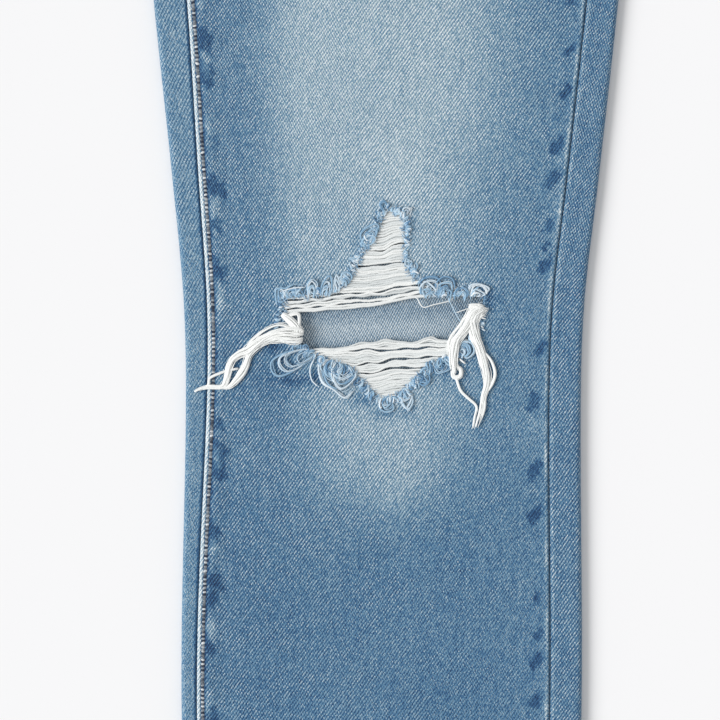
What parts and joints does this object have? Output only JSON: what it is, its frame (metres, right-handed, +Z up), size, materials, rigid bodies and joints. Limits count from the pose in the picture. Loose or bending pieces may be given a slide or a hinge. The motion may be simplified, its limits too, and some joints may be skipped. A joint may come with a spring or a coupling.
{
  "type": "ripped jeans",
  "caption": "Straight-leg denim jeans laid flat, ripped at the knee with bared weft and loose threads, with a closed fly, scoop and patch pockets and belt loops.",
  "frame": {"origin": "on the surface that the garment lies on, under the middle of its box", "axes": "+Y from the hems to the waist, +Z up out of the surface, +X to the wearer's left leg"},
  "size_m": [0.6728, 1.0644, 0.0125],
  "materials": {
    "denim": "washed indigo twill, faded over the thigh and knee, matt",
    "weft_thread": "undyed cotton weft, soft and matt",
    "warp_thread": "frayed indigo warp ends, matt",
    "seam_thread": "pale grey-white topstitching",
    "trim_metal": "worn antique brass, satin"
  },
  "bodies": {
    "root": {"front_left": "denim", "front_right": "denim", "back_left": "denim", "back_right": "denim", "yoke_left": "denim", "yoke_right": "denim", "waistband": "denim", "fly": "denim", "pocket_facing_left": "denim", "pocket_facing_right": "denim", "coin_pocket": "denim", "back_pocket_left": "denim", "back_pocket_right": "denim", "belt_loop_front_left": "denim", "belt_loop_front_right": "denim", "belt_loop_back_left": "denim", "belt_loop_back_right": "denim", "belt_loop_back_middle": "denim", "button": "trim_metal", "rivet_waist_left": "trim_metal", "rivet_side_left": "trim_metal", "rivet_waist_right": "trim_metal", "rivet_side_right": "trim_metal", "rivet_coin_inner": "trim_metal", "rivet_coin_outer": "trim_metal", "weft_upper": "weft_thread", "weft_lower": "weft_thread", "tuft_left": "weft_thread", "tuft_right": "weft_thread", "warp_curls_low_left": "warp_thread", "warp_curls_low_right": "warp_thread", "warp_curls_high_left": "warp_thread", "warp_curls_high_right": "warp_thread"}
  },
  "joints": []
}
